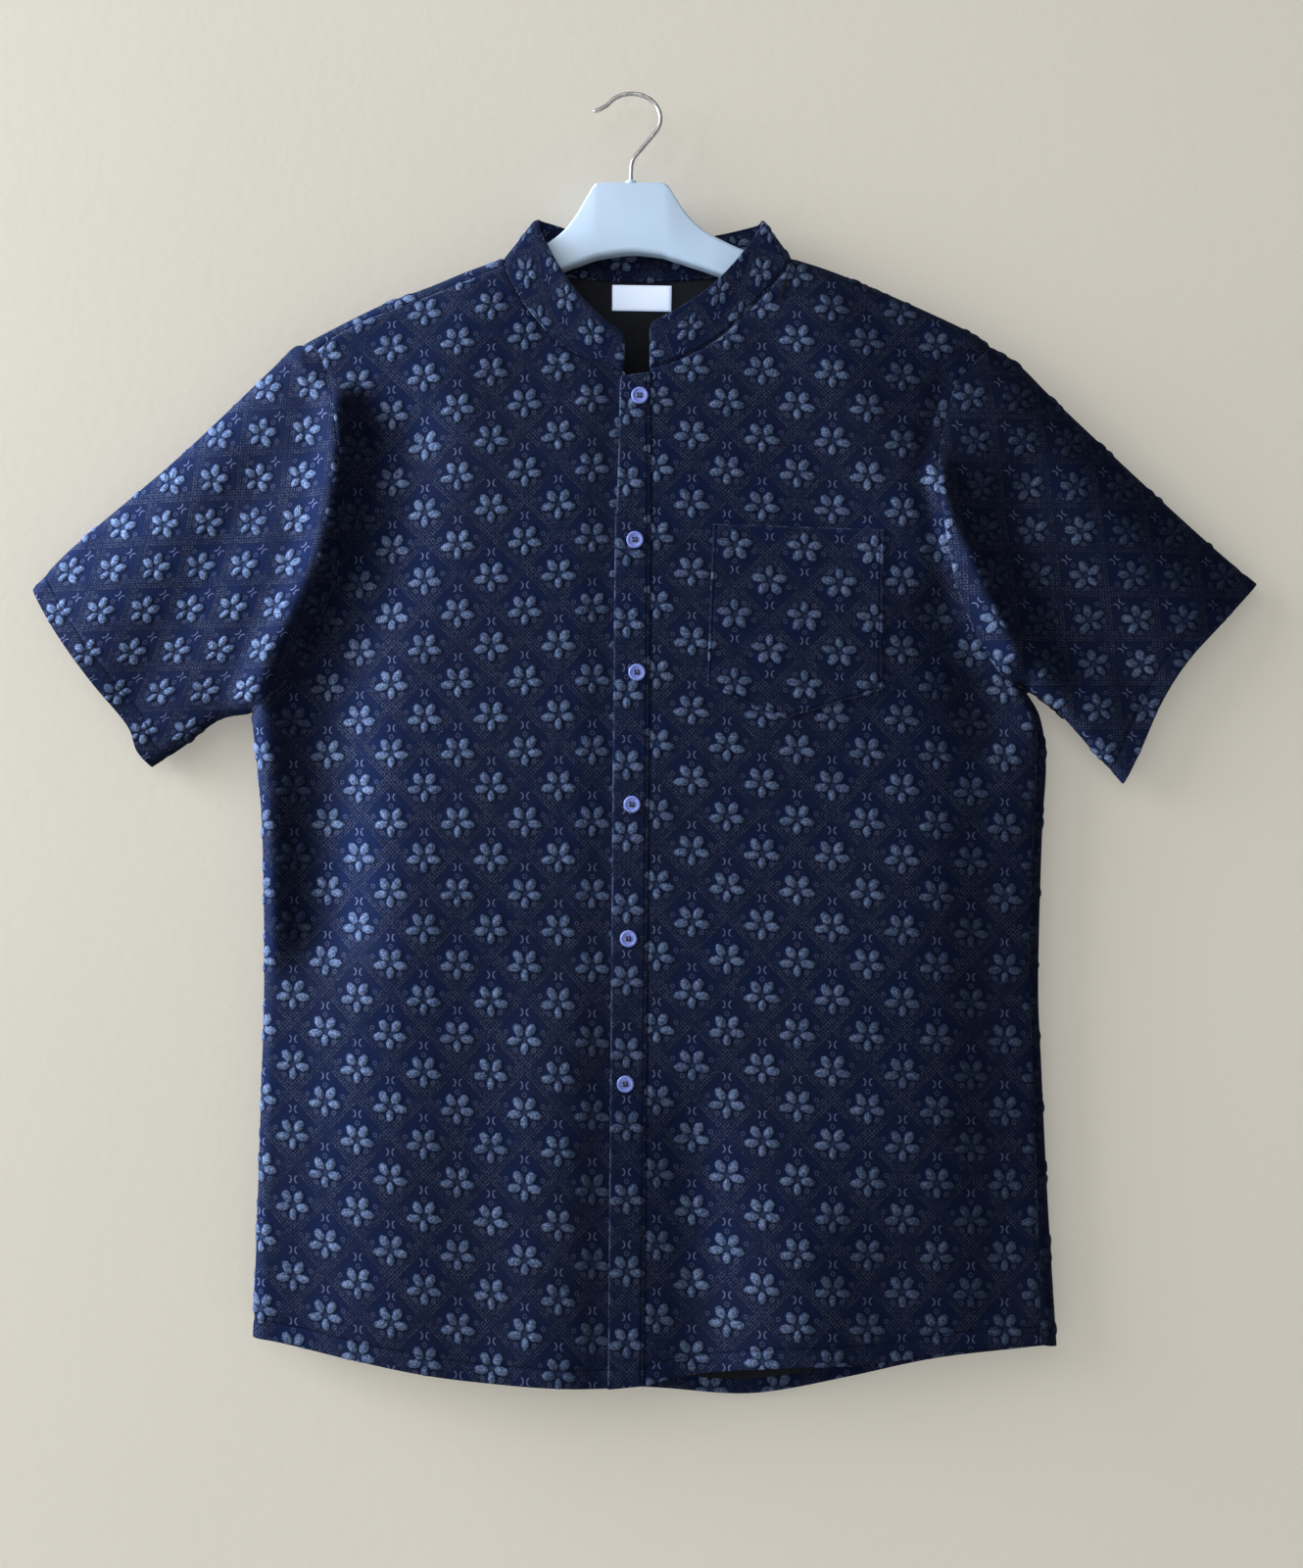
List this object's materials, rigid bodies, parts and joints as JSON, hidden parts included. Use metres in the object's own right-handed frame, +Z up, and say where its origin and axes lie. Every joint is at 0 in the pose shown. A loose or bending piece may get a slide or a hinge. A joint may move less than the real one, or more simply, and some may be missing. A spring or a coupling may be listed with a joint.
{
  "type": "short-sleeved mandarin collar shirt on a clothes hanger",
  "caption": "Buttoned short-sleeved shirt with a standing band collar, chest pocket and curved hem, hanging nearly flat from a moulded plastic hanger with a wire hook.",
  "frame": {"origin": "inner top of the hanger's hook, where it bears on the peg or rail", "axes": "+Z up, -Y out of the shirt's front, +X toward the wearer's left side, which is the side of the chest pocket"},
  "size_m": [0.839, 0.0472, 0.888],
  "materials": {
    "cloth": "matt puffed jacquard, dark navy with slate blue flowers",
    "label": "matt white satin tape",
    "buttons": "satin periwinkle blue",
    "hanger": "smooth pale blue white",
    "hook": "bright wire"
  },
  "bodies": {
    "root": {"back_panel": "cloth", "front_panel_right": "cloth", "front_panel_left": "cloth", "placket_band": "cloth", "collar_band": "cloth", "sleeve_right": "cloth", "sleeve_left": "cloth", "chest_pocket": "cloth", "neck_label": "label", "button_1": "buttons", "button_2": "buttons", "button_3": "buttons", "button_4": "buttons", "button_5": "buttons", "button_6": "buttons", "hanger_body": "hanger", "hanger_hook": "hook"}
  },
  "joints": []
}
